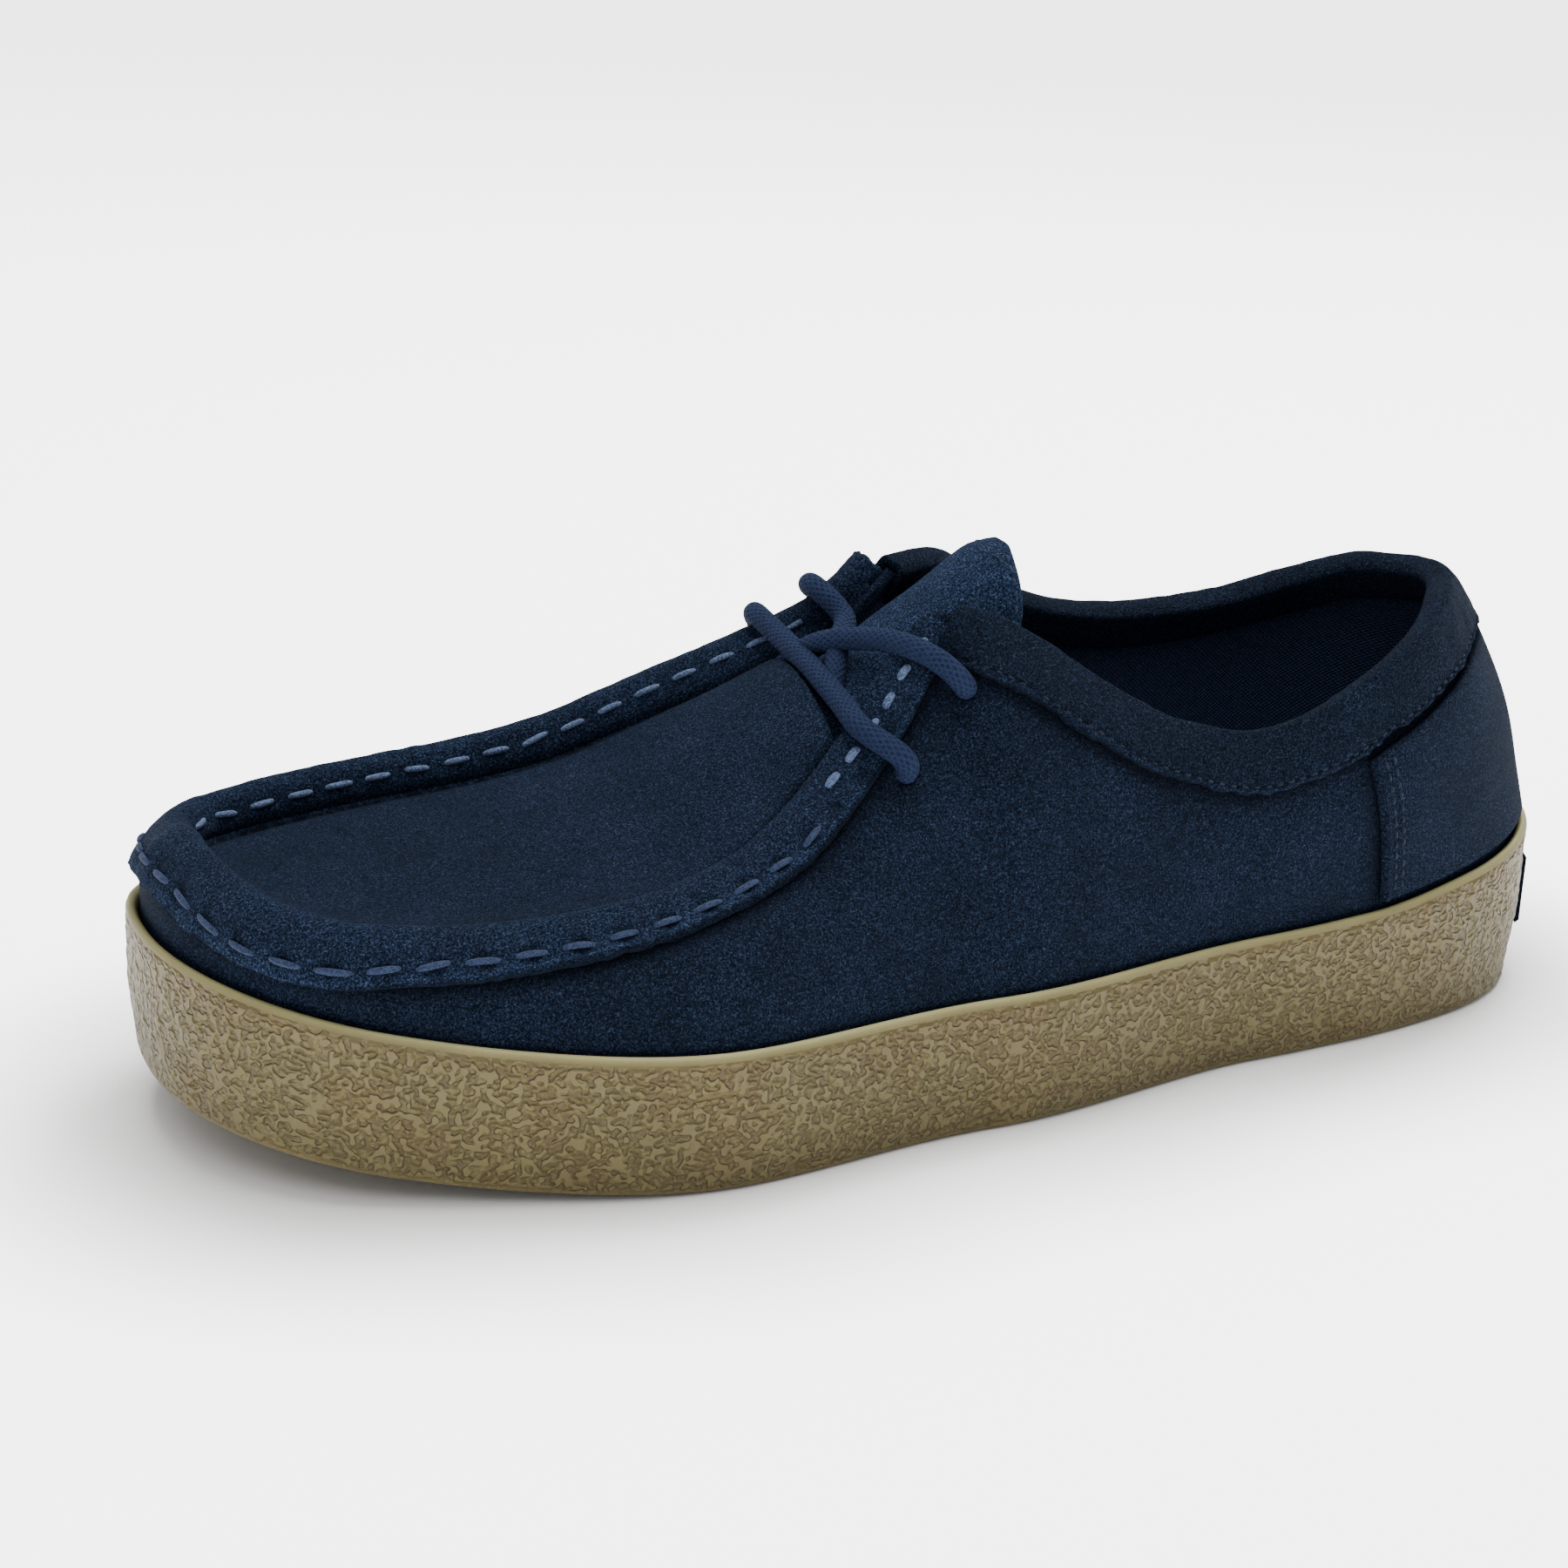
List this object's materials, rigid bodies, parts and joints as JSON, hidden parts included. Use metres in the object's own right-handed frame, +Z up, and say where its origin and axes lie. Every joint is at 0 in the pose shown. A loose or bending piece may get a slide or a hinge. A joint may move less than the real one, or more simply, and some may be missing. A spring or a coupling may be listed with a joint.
{
  "type": "lace-up moccasin-toe low shoe",
  "caption": "Left low shoe: suede upper with a raised moccasin seam, padded tongue, collar band and heel panel, laced across the throat, on a deep crepe rubber cupsole.",
  "frame": {"origin": "middle of the sole's length and width, on the floor it stands on", "axes": "toe to -X, heel to +X, outer side to -Y, inner side to +Y, +Z up"},
  "size_m": [0.2991, 0.1117, 0.1008],
  "materials": {
    "crepe": "cream crepe rubber with a pebbled grain",
    "gum": "moulded gum rubber",
    "suede": "navy suede with a short nap",
    "suede_dark": "dark navy label cloth, bare",
    "fabric": "dark navy lining cloth",
    "braid": "round braided cotton lace"
  },
  "bodies": {
    "root": {"cupsole": "crepe", "outsole": "gum", "insole": "fabric", "upper": "suede", "tongue": "suede", "apron_seam": "suede", "collar_band": "suede", "heel_counter": "suede", "heel_patch": "suede_dark", "lace": "braid"}
  },
  "joints": []
}
